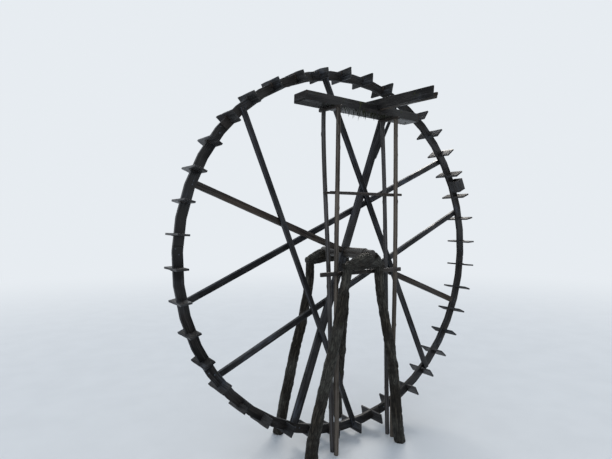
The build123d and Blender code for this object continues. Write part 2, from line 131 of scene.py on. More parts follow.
def swept(path, across, upward, half_width, half_height, rounding, section, relief=None, seed=0):
    """A section carried along a path: path + across * (share * (width - rounding) + direction * rounding),
    and the same upwards with the height. The relief, given the distances along, across and up the grain, is
    cut in."""
    path = np.asarray(path, float)
    across = np.broadcast_to(across, path.shape)[:, None]
    upward = np.broadcast_to(upward, path.shape)[:, None]
    share_x, share_y, turn_x, turn_y = section.T
    width, height, corner = (np.broadcast_to(value, len(path))[:, None]
                             for value in (half_width, half_height, rounding))
    x = share_x * (width - corner) + turn_x * corner
    y = share_y * (height - corner) + turn_y * corner
    steps = np.linalg.norm(np.diff(path, axis=0), axis=1)
    along = np.concatenate([[0], np.cumsum(steps)])[:, None] + 0 * x
    grain = np.stack([along, x, y], axis=-1)
    if relief is not None:
        cut = relief(grain + GRAIN_SHIFT * seed)
        x = x - turn_x * cut
        y = y - turn_y * cut
    points = path[:, None] + across * x[..., None] + upward * y[..., None]
    wear = np.broadcast_to(2 * np.abs(turn_x * turn_y), x.shape)
    faces = skin(points)
    points = points.reshape(-1, 3)
    grain = grain.reshape(-1, 3) + GRAIN_SHIFT * seed
    return Shape(points, outward(points, faces), grain, wear.ravel())


def hewn(depth, long=0.5, wide=0.05):
    """Relief of a worked surface: long shallow hollows and finer fibres along the grain."""
    def cut(grain):
        broad = waviness(grain, (long, wide, wide), 1)
        fine = waviness(grain, (long / 4, wide / 5, wide / 5), 2)
        return depth * (0.6 + 0.45 * broad + 0.25 * fine)
    return cut


def straight(start, end, step, edge):
    """Points from start to end, with the draw-in of each ring."""
    start, end = np.asarray(start, float), np.asarray(end, float)
    length = np.linalg.norm(end - start)
    inner = np.linspace(edge, length - edge, max(2, int(length / step)))
    along = np.concatenate([[0], inner, [length]])
    return start + (end - start) * (along / length)[:, None], drawn_in(len(along), edge)


def timber(start, end, up, width, height, seed, edge=0.004, depth=0.002, step=0.03, section=None):
    """A straight squared timber with worn edges. Its height runs along the up direction."""
    path, inset = straight(start, end, step, edge)
    run = (path[-1] - path[0]) / np.linalg.norm(path[-1] - path[0])
    up = np.asarray(up, float)
    up = up - run * (up @ run)
    up = up / np.linalg.norm(up)
    across = np.cross(run, up)
    section = squared_section() if section is None else section
    return swept(path, across, up, width / 2 - inset, height / 2 - inset, edge, section, hewn(depth), seed)


def plank_between(low, high, seed, edge, depth, step, section=None, trim=(0.0, 0.0)):
    """Plank between two corners, with its grain along its longest side. The trim is taken off its width and
    its thickness."""
    low, high = np.array(low, float), np.array(high, float)
    size, middle = high - low, (high + low) / 2
    run, thin = int(np.argmax(size)), int(np.argmin(size))
    start, end = middle.copy(), middle.copy()
    start[run], end[run] = low[run], high[run]
    width, thickness = size[3 - run - thin] - trim[0], size[thin] - trim[1]
    return timber(start, end, np.eye(3)[thin], width, thickness, seed, edge, depth, step, section)


def moved(shape, change):
    """The shape with its points passed through a change of place."""
    points = change(shape.points)
    return shape._replace(points=points, faces=outward(points, shape.faces))


def piece(name, shapes, body, finish, nodes=(), crease=38):
    """Object of one or more shapes around the hub, with its grain and wear stored on its points. It rides a
    body, and stands for the nodes that it names."""
    counts = np.cumsum([0] + [len(shape.points) for shape in shapes])
    points = np.concatenate([shape.points for shape in shapes]) + HUB
    faces = np.concatenate([shape.faces + count for shape, count in zip(shapes, counts)])
    mesh = bpy.data.meshes.new(name)
    mesh.vertices.add(len(points))
    mesh.vertices.foreach_set("co", points.ravel())
    mesh.loops.add(faces.size)
    mesh.loops.foreach_set("vertex_index", faces.ravel())
    mesh.polygons.add(len(faces))
    mesh.polygons.foreach_set("loop_start", np.arange(len(faces)) * 4)
    mesh.polygons.foreach_set("loop_total", np.full(len(faces), 4))
    mesh.update(calc_edges=True)
    mesh.polygons.foreach_set("use_smooth", np.ones(len(faces), bool))
    mesh.set_sharp_from_angle(angle=radians(crease))
    grain = np.concatenate([shape.grain for shape in shapes])
    mesh.attributes.new("grain", "FLOAT_VECTOR", "POINT").data.foreach_set("vector", grain.ravel())
    wear = np.concatenate([shape.wear for shape in shapes])
    mesh.attributes.new("wear", "FLOAT", "POINT").data.foreach_set("value", wear)
    made = bpy.data.objects.new(name, mesh)
    bpy.context.scene.collection.objects.link(made)
    mesh.materials.append(finish)
    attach(made, body)
    if nodes:
        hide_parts(*nodes)


# Finishes

GLOSS = 0.18


class Socket:
    """An output of a material's nodes, on which arithmetic adds Math nodes."""

    def __init__(self, tree, socket=None):
        self.tree = tree
        self.socket = socket

    def node(self, kind, settings, inputs, output=0):
        """Adds a node, with its settings made first and then the values or links of its sockets."""
        node = self.tree.nodes.new(kind)
        for name, value in settings.items():
            setattr(node, name, value)
        for key, value in inputs.items():
            if isinstance(value, Socket):
                self.tree.links.new(value.socket, node.inputs[key])
            else:
                node.inputs[key].default_value = value
        return Socket(self.tree, node.outputs[output])

    def maths(self, operation, first, second=0.0):
        """Adds a Math node."""
        return self.node("ShaderNodeMath", {"operation": operation}, {0: first, 1: second})

    def __add__(self, other):
        return self.maths("ADD", self, other)

    def __sub__(self, other):
        return self.maths("SUBTRACT", self, other)

    def __rsub__(self, other):
        return self.maths("SUBTRACT", other, self)

    def __mul__(self, other):
        return self.maths("MULTIPLY", self, other)

    __radd__ = __add__
    __rmul__ = __mul__

    def place(self):
        """Position on the object, in metres."""
        return self.node("ShaderNodeTexCoord", {}, {}, "Object")

    def stored(self, name, output):
        """What the points of a piece hold under a name."""
        return self.node("ShaderNodeAttribute", {"attribute_name": name}, {}, output)

    def stretched(self, scale):
        """The vector, multiplied along each axis."""
        return self.node("ShaderNodeVectorMath", {"operation": "MULTIPLY"}, {0: self, 1: scale})

    def noise(self, detail=3.0, rough=0.55, scale=1.0, bend=0.0):
        """Noise from about 0 to 1 at this vector."""
        sockets = {"Vector": self, "Scale": scale, "Detail": detail, "Roughness": rough, "Distortion": bend}
        return self.node("ShaderNodeTexNoise", {}, sockets)

    def ramp(self, low, high):
        """0 below low, 1 above high and smooth between."""
        sockets = {"Value": self, "From Min": low, "From Max": high}
        return self.node("ShaderNodeMapRange", {"interpolation_type": "SMOOTHSTEP"}, sockets)

    def blend(self, first, second):
        """Colour that goes from the first to the second as this value goes from 0 to 1."""
        first, second = (colour if isinstance(colour, Socket) else (*colour, 1) for colour in (first, second))
        return self.node("ShaderNodeMix", {"data_type": "RGBA"}, {"Factor": self, 6: first, 7: second}, 2)


def new_finish(name, coat_roughness):
    """Empty material, with its shader and a first socket to build from."""
    finish = bpy.data.materials.new(name)
    finish.use_nodes = True
    shader = finish.node_tree.nodes["Principled BSDF"]
    shader.inputs["Coat Roughness"].default_value = coat_roughness
    shader.inputs["Specular IOR Level"].default_value = GLOSS
    return finish, shader, Socket(finish.node_tree)


def connect(start, shader, colour, roughness, coat, height, depth):
    """Gives the shader its colour, roughness, wet coat and relief."""
    bump = start.node("ShaderNodeBump", {}, {"Strength": 1.0, "Distance": depth, "Height": height})
    fed = (("Base Color", colour), ("Roughness", roughness), ("Coat Weight", coat), ("Normal", bump))
    for key, value in fed:
        start.tree.links.new(value.socket, shader.inputs[key])


def wood_finish(name, deep, pale, silver_and_sheen, wet, moss=0.0):
    """Wet weathered wood. Its colour runs from deep to pale with the streaks of the grain, growth layers and a
    few knots darken it, worn edges and patches go a silvery grey of real weathering whose blue tint, where a
    finish has one, is a painted reflection of the sky, cracks are almost black, and a film of water is
    glossier."""
    finish, shader, start = new_finish(name, 0.2)
    grain = start.stored("grain", "Vector")
    wear = start.stored("wear", "Fac")
    place = start.place()
    tone = grain.stretched((0.05, 0.27, 0.27)).noise(1, 0.5)
    broad = grain.stretched((1.6, 14, 14)).noise(3, 0.6)
    streaks = grain.stretched((4, 95, 95)).noise(5, 0.62, bend=0.15)
    fibres = grain.stretched((30, 700, 700)).noise(2, 0.5)
    layers = grain.stretched((0.8, 8, 8)).noise(2, 0.4) * 60
    bands = start.maths("SINE", layers) * 0.5 + 0.5
    cell = start.node("ShaderNodeTexVoronoi", {}, {"Vector": grain.stretched((1.9, 9.5, 9.5)), "Scale": 1.0})
    knot = 1 - (cell + streaks * 0.08).ramp(0.07, 0.13)
    crack_line = grain.stretched((0.7, 26, 26)).noise(3, 0.5, bend=0.4)
    cracked = grain.stretched((0.5, 5, 5)).noise(1, 0.5).ramp(0.44, 0.52)
    crack = (1 - start.maths("ABSOLUTE", crack_line - 0.5).ramp(0.002, 0.012)) * cracked
    patches = place.noise(4, 0.6, scale=2.3)
    spots = place.noise(4, 0.65, scale=24)
    damp = place.noise(3, 0.55, scale=1.3).ramp(0.42, 0.6)
    paleness = streaks * 0.5 + fibres * 0.15 + broad * 0.75 + tone * 0.7 - 0.55
    colour = paleness.ramp(0.36, 0.64).blend(deep, pale)
    colour = (bands * 0.35).blend(colour, deep)
    worn = (wear * 0.45 + patches * 0.9 + streaks * 0.5 + broad * 0.35).ramp(0.9, 1.2)
    # Worn edges and patches turn silvery: real weathering, and where that colour is tinted blue, a painted
    # reflection of the sky.
    colour = (worn * 0.85).blend(colour, silver_and_sheen)
    colour = (damp * 0.5).blend(colour, [value * 0.5 for value in deep])
    colour = (knot * 0.8).blend(colour, [value * 0.6 for value in deep])
    colour = (crack * 0.9).blend(colour, (0.0015, 0.0013, 0.0012))
    roughness = 0.7 - damp * (0.3 * wet) + (streaks - 0.5) * 0.4
    coat = (damp * 0.6 + wear * 0.15) * wet
    height = streaks * 0.55 + fibres * 0.25 + bands * 0.12 - crack * 1.1 - knot * 0.35
    if moss:
        cover = place.noise(5, 0.65, scale=8) + spots * 0.4 + wear * 0.06
        tufts = cover.ramp(0.92 - 0.2 * moss, 1.02 - 0.2 * moss)
        green = spots.ramp(0.35, 0.65).blend((0.010, 0.012, 0.005), (0.045, 0.05, 0.018))
        colour = (tufts * 0.8).blend(colour, green)
        height = height + tufts * (spots * 1.6 + 0.4)
        coat = coat * (1 - tufts)
    connect(start, shader, colour, roughness, coat, height, 0.004)
    return finish


def bark_finish(name, deep, pale, grey, wet, moss):
    """Rough bark in long plates: dark furrows between pale ridges, grey lichen, and moss in the damp."""
    finish, shader, start = new_finish(name, 0.3)
    grain = start.stored("grain", "Vector")
    place = start.place()
    plates = grain.stretched((6, 34, 34)).noise(4, 0.6, bend=0.7)
    flakes = grain.stretched((30, 130, 130)).noise(3, 0.6)
    furrow = 1 - start.maths("ABSOLUTE", plates - 0.5).ramp(0.008, 0.075)
    spots = place.noise(4, 0.65, scale=21)
    patches = place.noise(3, 0.6, scale=2.6)
    colour = (plates * 0.6 + flakes * 0.5).ramp(0.36, 0.74).blend(deep, pale)
    colour = ((patches + spots * 0.4).ramp(0.66, 0.88) * 0.65).blend(colour, grey)
    colour = (furrow * 0.75).blend(colour, [value * 0.25 for value in deep])
    tufts = (place.noise(5, 0.62, scale=6.5) + spots * 0.3).ramp(0.88 - 0.2 * moss, 1.0 - 0.2 * moss)
    colour = (tufts * 0.7).blend(colour, (0.026, 0.032, 0.012))
    roughness = 0.86 - patches * 0.25
    coat = patches.ramp(0.42, 0.6) * wet
    height = plates * 0.9 + flakes * 0.4 - furrow * 0.7 + tufts * spots * 0.8
    connect(start, shader, colour, roughness, coat, height, 0.008)
    return finish


def iron_finish():
    """Rusted iron: dark scale with brown-red rust in patches."""
    finish, shader, start = new_finish("rusty_iron", 0.3)
    place = start.place()
    rust = place.noise(5, 0.65, scale=60)
    colour = rust.ramp(0.38, 0.62).blend((0.02, 0.017, 0.016), (0.09, 0.032, 0.013))
    connect(start, shader, colour, rust * 0.3 + 0.5, rust * 0.1, rust, 0.001)
    shader.inputs["Metallic"].default_value = 0.5
    return finish


def moss_finish():
    """Wet moss and algae: dark olive with paler tips, matt and rough."""
    finish, shader, start = new_finish("wet_moss", 0.4)
    place = start.place()
    tips = place.noise(4, 0.7, scale=140)
    broad = place.noise(3, 0.6, scale=9)
    colour = (tips * 0.7 + broad * 0.4).ramp(0.35, 0.75).blend((0.005, 0.0055, 0.003), (0.03, 0.032, 0.014))
    connect(start, shader, colour, broad * 0.2 + 0.7, broad * 0.3, tips, 0.003)
    return finish


# Each finish's deep, pale and silvery or grey colour, then how wet and how mossy it is. The blue tint of the
# silvery colours of the rim, boards, arms and trough is a painted reflection of the sky.
rim_wood = wood_finish(
    "rim_wood", (0.004, 0.0038, 0.004), (0.038, 0.033, 0.03), (0.062, 0.069, 0.081), 0.5, 0.2)
board_wood = wood_finish(
    "board_wood", (0.006, 0.0062, 0.007), (0.052, 0.05, 0.05), (0.088, 0.102, 0.126), 0.6, 0.1)
arm_wood = wood_finish(
    "arm_wood", (0.006, 0.0062, 0.007), (0.05, 0.048, 0.05), (0.086, 0.1, 0.127), 0.6)
brown_wood = wood_finish(
    "brown_wood", (0.011, 0.0082, 0.0068), (0.066, 0.05, 0.039), (0.088, 0.083, 0.079), 0.4)
axle_wood = wood_finish(
    "axle_wood", (0.012, 0.009, 0.007), (0.085, 0.061, 0.044), (0.11, 0.1, 0.09), 0.5, 0.2)
pole_wood = wood_finish(
    "pole_wood", (0.022, 0.015, 0.0105), (0.115, 0.082, 0.058), (0.14, 0.12, 0.1), 0.2)
dark_pole_wood = wood_finish(
    "dark_pole_wood", (0.009, 0.0075, 0.007), (0.062, 0.05, 0.042), (0.09, 0.087, 0.088), 0.4)
trough_wood = wood_finish(
    "trough_wood", (0.0055, 0.0052, 0.0055), (0.045, 0.04, 0.037), (0.068, 0.073, 0.083), 0.5, 0.5)
soaked_wood = wood_finish(
    "soaked_wood", (0.003, 0.003, 0.0028), (0.022, 0.019, 0.016), (0.03, 0.031, 0.032), 0.7, 0.6)
gutter_wood = wood_finish(
    "gutter_wood", (0.012, 0.0095, 0.008), (0.085, 0.067, 0.053), (0.115, 0.105, 0.092), 0.5, 0.4)
trunk_bark = bark_finish(
    "trunk_bark", (0.0075, 0.0065, 0.005), (0.044, 0.037, 0.028), (0.068, 0.067, 0.056), 0.14, 0.4)
rusty_iron = iron_finish()
wet_moss = moss_finish()


# Wheel

TIP = 2.5
RIM_OUTER, RIM_INNER, HALF_RIM = 2.476, 2.351, 0.025
FACET = radians(9)
FELLOES = 10
FELLOE_TURN = 4 * FACET
# Radius at which the grain of a felloe has its true length
GRAIN_RADIUS = 2.42
FIRST_BOARD = radians(2.26)
FIRST_CORNER = FIRST_BOARD - FACET / 2
LAP = radians(1.504)
ALONG = np.array([0.0, 1.0, 0.0])
BOARDS, BOARD_GROUPS = 40, 4
HALF_BOARD, BOARD_DEPTH, HALF_BOARD_THICKNESS = 0.2155, 0.140, 0.0125
ARM_END, CROSSING_ARM_END, ARM_THICKNESS = 2.426, 2.356, 0.05

# Angle of both ends, width and place along the axle of each arm that lies on a face of the rim
FACE_ARMS = {
    "arm_near_left": (132.1, 272.5, 0.070, -0.05),
    "arm_near_right": (100.3, 309.85, 0.078, -0.05),
    "arm_far_upper": (192.5, 35.4, 0.080, 0.05),
    "arm_far_lower": (216.0, 14.1, 0.080, 0.05),
}

# Angle, distance beside the hub and width of the arms through the axle
RISING_ARM, LEVEL_ARM = (69.5, 0.045, 0.116), (158.7, 0, 0.0858)


def polar(radius, angle, y=0.0):
    """Point of the wheel's plane at a radius and an angle, at a distance along the axle."""
    radius, angle, y = np.broadcast_arrays(radius, angle, y)
    return np.stack([radius * np.cos(angle), y, radius * np.sin(angle)], axis=-1)


def directions(index):
    """Directions outwards and forwards at a board, or between two of them."""
    angle = FIRST_BOARD + FACET * index
    return polar(1, angle), polar(1, angle + pi / 2)


def felloe(index):
    """A stretch of four facets: the radius of a facet grows as 1 / cos of the angle from its middle. Its near
    half starts and ends a lap's angle earlier and its far half a lap's angle later, which fades along 12 cm."""
    start = FIRST_CORNER + FELLOE_TURN * index
    gap, fade = 0.0004, 0.12
    share = np.unique(np.concatenate([np.linspace(0, 1, 97), [0.25, 0.5, 0.75, 0.002, 0.998]]))
    angle = start + gap + share * (FELLOE_TURN - 2 * gap)
    section = squared_section(4, 4, 3)
    half_depth = (RIM_OUTER - RIM_INNER) / 2
    inset = drawn_in(len(share), 0.003)
    path = np.stack([share * FELLOE_TURN * GRAIN_RADIUS, 0 * share, 0 * share], axis=1)
    flat = swept(path, (0, 1, 0), (0, 0, 1), HALF_RIM - inset, half_depth - inset, 0.006, section,
                 hewn(0.0025, 0.5, 0.05), 10 + index)
    around = len(section)
    y, rise = flat.points[:, 1], flat.points[:, 2]
    to_end = np.minimum(share, 1 - share) * FELLOE_TURN * GRAIN_RADIUS
    shift = np.repeat(np.clip(1 - to_end / fade, 0, 1), around) * np.where(y < 0, -LAP, LAP)
    turned = np.repeat(angle, around) + shift
    facet_turn = (turned - FIRST_CORNER) % FACET - FACET / 2
    corner_radius = (RIM_OUTER + RIM_INNER) / 2 + rise
    points = polar(corner_radius * cos(FACET / 2) / np.cos(facet_turn), turned, y)
    return flat._replace(points=points, faces=outward(points, flat.faces))


# How much further out some boards reach, and how much the near outer corner of some has lost
BROADER = {
    2: 0.008, 3: 0.016, 4: 0.024, 5: 0.024, 6: 0.018, 13: 0.012, 14: 0.016, 15: 0.016, 16: 0.014, 17: 0.018,
}
WORN_AWAY = {11: 0.022, 12: 0.01, 29: 0.015, 35: 0.012}


def paddle(index, rng):
    """A sawn board across the rim: slightly cupped, twisted and set askew, with an end or corner worn short."""
    broader = BROADER.get(index, 0)
    depth = BOARD_DEPTH + broader + rng.uniform(-0.006, 0.01)
    path, inset = straight((0, -HALF_BOARD, 0), (0, HALF_BOARD, 0), 0.022, 0.003)
    board = swept(path, (1, 0, 0), (0, 0, 1), depth / 2 - inset, HALF_BOARD_THICKNESS - inset, 0.003,
                  squared_section(1, 7, 3), hewn(0.0016, 0.3, 0.03), 40 + index)
    out, y, thick = board.points.T
    share = y / HALF_BOARD
    short = np.clip(rng.uniform(-0.015, 0.03, 2), 0, 1)
    slant = rng.uniform(-0.012, 0.012)
    side = np.where(share > 0, short[0], short[1])
    ragged = 0.005 * waviness(np.stack([out, share, 0 * y + index], 1), (0.016, 9, 1), 3)
    y = y * (1 - np.clip(side * (out / depth + 0.5) + slant * out / depth + ragged + 0.005, 0, 0.06))
    tilt = rng.normal(0, 0.02)
    twist, cup, yaw = rng.normal(0, 0.012), rng.normal(0, 0.0012), rng.normal(0, 0.012)
    thick = thick - tilt * out + twist * out * share + cup * ((2 * out / depth) ** 2 - 1) + yaw * y
    chipped = 0.5 + 0.5 * waviness(np.stack([y, 0 * y + index, 0 * y], 1), (0.07, 1, 1), 4)
    out = out - 0.003 * chipped * (out > 0)
    out = out - WORN_AWAY.get(index, 0) * np.clip(-1.4 * share - 0.4, 0, 1) * (out / depth + 0.5)
    radius = TIP + broader - depth / 2 + out - rng.uniform(0.0005, 0.003)
    radial, tangent = directions(index)
    points = radius[:, None] * radial + y[:, None] * ALONG + thick[:, None] * tangent
    return board._replace(points=points, faces=outward(points, board.faces))


for index in range(FELLOES):
    name = f"rim_felloe_{index + 1:02d}"
    piece("hewn_" + name, [felloe(index)], "wheel", rim_wood, [name])

rng = np.random.default_rng(7)
paddles = [paddle(index, rng) for index in range(BOARDS)]
in_group = BOARDS // BOARD_GROUPS
for group in range(BOARD_GROUPS):
    name = f"paddle_boards_{group + 1}"
    boards = paddles[group * in_group:(group + 1) * in_group]
    piece("worn_" + name, boards, "wheel", board_wood, [name])


def chord(first, second, width, y, seed):
    """Arm across one face of the rim, between two of its points."""
    start, end = (polar(ARM_END, radians(angle), y) for angle in (first, second))
    return timber(start, end, ALONG, width, ARM_THICKNESS, seed, 0.006, 0.003, 0.03, squared_section(4, 7, 3))


def strut():
    """Thin split timber that leans inwards from the rim."""
    length, lean = 1.0, radians(62.4)
    top = polar(2.43, radians(66.3))
    return timber(top, top - polar(length, lean), ALONG, 0.046, 0.032, 67, 0.006, 0.003)


def crossing_arm(angle, aside, width, seed):
    """Arm through the axle, from rim to rim."""
    across = polar(aside, radians(angle + 90))
    start, end = (polar(reach, radians(angle)) + across for reach in (-CROSSING_ARM_END, CROSSING_ARM_END))
    return timber(start, end, ALONG, width, ARM_THICKNESS, seed, 0.006, 0.003, 0.03, squared_section(4, 9, 3))


for seed, (name, arm) in enumerate(FACE_ARMS.items()):
    piece("hewn_" + name, [chord(*arm, 61 + seed)], "wheel", arm_wood, [name])
piece("hewn_arm_cross_rising", [crossing_arm(*RISING_ARM, 65)], "wheel", arm_wood,
      ["arm_cross_rising"])
piece("hewn_arm_cross_level", [crossing_arm(*LEVEL_ARM, 66)], "wheel", brown_wood,
      ["arm_cross_level"])
piece("split_strut", [strut()], "wheel", arm_wood, ["arm_strut"])


def log(path, radius, seed, relief, count=48):
    """Round log along a path that runs mostly along one axis, closed at both ends."""
    path = np.asarray(path, float)
    run = np.gradient(path, axis=0)
    run /= np.linalg.norm(run, axis=1)[:, None]
    across = np.cross(run, (0.0, 1.0, 0.0) if abs(run[0][1]) < 0.7 else (0.0, 0.0, 1.0))
    across /= np.linalg.norm(across, axis=1)[:, None]
    upward = np.cross(across, run)
    return swept(path, across, upward, radius, radius, radius, round_section(count), relief, seed)


def axle_log():
    """Round log with a thinner journal at each end, on which the relief stops."""
    seed, journal_end, journal_radius, middle_radius = 70, 0.545, 0.0598, 0.075
    outer = np.array([0.396, 0.4, 0.402, 0.45, 0.5, 0.541, journal_end])
    y = np.concatenate([-outer[::-1], np.linspace(-0.38, 0.38, 60), outer])
    radius = np.where(abs(y) > 0.401, journal_radius, np.where(abs(y) > 0.399, 0.071, middle_radius))
    radius[[0, -1]] = 0.056
    path = np.stack([0 * y, y, 0 * y], axis=1)
    hewing = hewn(0.004, 0.4, 0.03)

    def cut(grain):
        along = grain[..., 0] - GRAIN_SHIFT * seed - journal_end
        return np.where(abs(along) < 0.395, hewing(grain), 0)
    return log(path, radius, seed, cut, 64)


piece("axle_log", [axle_log()], "wheel", axle_wood, ["axle"])


# Lifting box of thin planks

def lifting_box():
    """Five thin planks round a space that is open on its leading side. Their corners are given outwards, along
    the axle and forwards."""
    inner, outer, near, far, half, plank = 2.328, 2.484, -0.192, -0.025, 0.093, 0.015
    rows = (
        ((inner, near, -half), (outer, far, -half + plank)),
        ((outer - plank, near, -half + plank), (outer, far, half)),
        ((inner, near, -half + plank), (inner + plank, far, half)),
        ((inner + plank, near, -half + plank), (outer - plank, near + plank, half)),
        ((inner + plank, far - plank, -half + plank), (outer - plank, far, half)),
    )
    radial, leading = directions(2.5)
    planks = []
    for seed, (low, high) in enumerate(rows):
        shape = plank_between(low, high, 80 + seed, 0.0025, 0.001, 0.015, None, (0.002, 0.001))
        planks.append(moved(shape, lambda p: p[:, :1] * radial + p[:, 1:2] * ALONG + p[:, 2:] * leading))
    return planks


piece("lift_box_planks", lifting_box(), "wheel", board_wood, ["lift_box"])


# Bents of trunks and crowns

Trunk = namedtuple("Trunk", "top_x drop foot_x foot_radius bends")
TRUNKS = {
    "near_leg_left": Trunk(-0.4, 0.082, -1.0, 0.084, (-0.034, 0.005, 0.004)),
    "near_leg_right": Trunk(0.12, 0.078, 0.475, 0.08, (0.026, 0.023, -0.02)),
    "far_leg_left": Trunk(-0.255, 0.075, -0.775, 0.082, (0.015, 0.045, 0.055)),
    "far_leg_right": Trunk(0.4, -0.012, 0.3, 0.08, (-0.024, 0.014, 0.012)),
}
TRUNK_BENDS_AT, TRUNK_TOP_RADIUS, FOOT_OUT = (0.3, 0.6, 0.85), 0.066, 0.04
BENT_Y = 0.53
CROWN_AXIS, CROWN_RADIUS, CROWN_END_RADIUS, CROWN_OVERHANG = -0.065, 0.110, 0.072, 0.045
NOTCH_RADIUS = 0.0605


def seat_height(trunk):
    """Height at which a crown rests on a trunk, half its end's radius below its centre line."""
    return CROWN_AXIS - trunk.drop - CROWN_END_RADIUS / 2


def bend_at(share, places, bends):
    """Sideways bend at a share of the way, on the curve that is 0 at both ends and passes through the bends."""
    return np.polyval(np.polyfit([0, *places, 1], [0, *bends, 0], len(places) + 1), share)


def knots(grain, radius, places):
    """Outward swelling at each knot: its height times e to the minus squared distance over squared size."""
    turn = np.arctan2(grain[..., 2], grain[..., 1])
    swell = 0
    for along, around, size, height in places:
        gap = np.hypot(grain[..., 0] - along, np.sin((turn - around) / 2) * 2 * radius)
        swell = swell + height * (np.exp(-(gap / size) ** 2) - 0.8 * np.exp(-(gap / (0.35 * size)) ** 2))
    return swell


def bark_relief(seed, radius, length, count, deep=0.007):
    """Furrows: ridges of 1 - |noise| stretched along the trunk, with knots that stand out and slow lumps."""
    rng = np.random.default_rng(seed)
    places = [
        (rng.uniform(0.1, length), rng.uniform(-pi, pi), rng.uniform(0.03, 0.055), rng.uniform(0.008, 0.02))
        for _ in range(count)
    ]

    def cut(grain):
        ridge = np.abs(waviness(grain, (0.09, 0.022, 0.022), 1))
        fine = np.abs(waviness(grain, (0.03, 0.009, 0.009), 2))
        lumps = waviness(grain, (0.35, 0.12, 0.12), 3)
        furrows = deep * (0.9 - 1.1 * np.minimum(ridge * 1.8, 1) + 0.35 * fine + 0.8 * lumps + 0.5)
        return furrows - knots(grain - GRAIN_SHIFT * seed, radius, places)
    return cut


def trunk_path(trunk, y, seat, share):
    """Line from the foot to the seat, with its sideways bends."""
    x = trunk.foot_x + (trunk.top_x - trunk.foot_x) * share + bend_at(share, TRUNK_BENDS_AT, trunk.bends)
    out = 1 if y > 0 else -1
    return np.stack([x, y + out * FOOT_OUT * (1 - share), FLOOR_Z + (seat - FLOOR_Z) * share], axis=1)


def trunk_shape(name, trunk, seed):
    """Crooked trunk with bark, from the floor to its crown. What would pass the floor, the seat or the furthest
    point of the foot is set back to it."""
    y = -BENT_Y if "near" in name else BENT_Y
    seat = seat_height(trunk)
    share = np.concatenate([[0], np.linspace(0.002, 1, 230), [1.012]])
    radius = trunk.foot_radius + (TRUNK_TOP_RADIUS - trunk.foot_radius) * share
    path = trunk_path(trunk, y, seat, share)
    shape = log(path, radius, seed, bark_relief(seed, 0.07, 2.4, 9), 72)
    reach = BENT_Y + FOOT_OUT + trunk.foot_radius
    low, high = (-2, -reach, FLOOR_Z), (2, reach, seat + 0.02)
    return shape._replace(points=np.clip(shape.points, low, high))


for seed, (name, trunk) in enumerate(TRUNKS.items()):
    shape = trunk_shape(name, trunk, 90 + seed)
    piece("bark_" + name, [shape], "frame", trunk_bark, [name], 60)


def crown_shape(left, right, y, seed):
    """Bowed log: its line falls from the journal as drop * share^1.1 and its radius shrinks with share^2.
    Above the journal's round notch every point is lowered to the notch, and over each trunk it is cut flat
    below."""
    ends = [1 + CROWN_OVERHANG / abs(trunk.top_x) for trunk in (left, right)]
    low_x, high_x = left.top_x * ends[0], right.top_x * ends[1]
    x = np.concatenate([
        [low_x, low_x + 0.004],
        np.linspace(low_x + 0.01, -NOTCH_RADIUS - 0.001, 60),
        np.linspace(-NOTCH_RADIUS, NOTCH_RADIUS, 25),
        np.linspace(NOTCH_RADIUS + 0.001, high_x - 0.01, 60),
        [high_x - 0.004, high_x],
    ])
    share = np.where(x < 0, x / left.top_x, x / right.top_x)
    drop = np.where(x < 0, left.drop, right.drop)
    z = CROWN_AXIS - drop * share ** 1.1
    radius = CROWN_RADIUS + (CROWN_END_RADIUS - CROWN_RADIUS) * np.minimum(share, 1) ** 2
    radius[[0, -1]] -= 0.008
    path = np.stack([x, 0 * x + y, z], axis=1)
    shape = log(path, radius, seed, bark_relief(seed, 0.1, 0.8, 5, 0.008), 72)
    px, py, pz = shape.points.T
    inside = abs(px) < NOTCH_RADIUS + 0.0005
    bed = np.where(inside, -np.sqrt(np.clip(NOTCH_RADIUS ** 2 - px ** 2, 0, 1)), 1)
    pz = np.minimum(pz, bed)
    for trunk, side in ((left, -1), (right, 1)):
        over = side * px > abs(trunk.top_x) - TRUNK_TOP_RADIUS - 0.012
        pz = np.where(over, np.maximum(pz, seat_height(trunk)), pz)
    return shape._replace(points=np.stack([px, py, pz], axis=1))


for side, y, seed in (("near", -BENT_Y, 100), ("far", BENT_Y, 101)):
    shape = crown_shape(TRUNKS[side + "_leg_left"], TRUNKS[side + "_leg_right"], y, seed)
    piece(side + "_crown_log", [shape], "frame", trunk_bark, [side + "_crown"], 50)


# Tower of poles

TROUGH_BOTTOM, TROUGH_TURN = 1.885, radians(1.8)
TROUGH_LEFT, TROUGH_RIGHT, TROUGH_NEAR, TROUGH_FAR = -0.935, 1.010, -0.388, -0.105
TROUGH_PLANK, TROUGH_HEIGHT = 0.025, 0.120
OUTLET_X, OUTLET_SILL, OUTLET_TURN = 0.216, 0.048, radians(1.9)

# Top and foot of each pole, across the wheel and along the axle, and its bends
POLES = {
    "pole_far_left": ((-0.512, -0.165), (-0.465, -0.300), (0.008, 0.006, -0.014)),
    "pole_near_left": ((-0.473, -0.428), (-0.480, -0.400), (-0.008, -0.017, -0.004)),
    "pole_far_right": ((0.512, -0.165), (0.500, -0.300), (0.008, 0.022, 0.013)),
    "pole_near_right": ((0.519, -0.428), (0.495, -0.400), (0.003, 0.018, 0.007)),
}
POLE_BENDS_AT = (0.3, 0.62, 0.85)


def along_trough(points):
    """Points of the trough's own directions, turned by its slope and set on the tower."""
    x, y, z = points.T
    turned_x = x * cos(TROUGH_TURN) + z * sin(TROUGH_TURN)
    return np.stack([turned_x, y, TROUGH_BOTTOM + z * cos(TROUGH_TURN) - x * sin(TROUGH_TURN)], axis=1)


def along_outlet(points):
    """Points of the outlet's own directions, turned by its slope and set over the trough's near wall."""
    x, y, z = points.T
    turned_y = y * cos(OUTLET_TURN) - z * sin(OUTLET_TURN)
    turned_z = y * sin(OUTLET_TURN) + z * cos(OUTLET_TURN)
    return along_trough(np.stack([x + OUTLET_X, turned_y + TROUGH_NEAR, turned_z + OUTLET_SILL], axis=1))


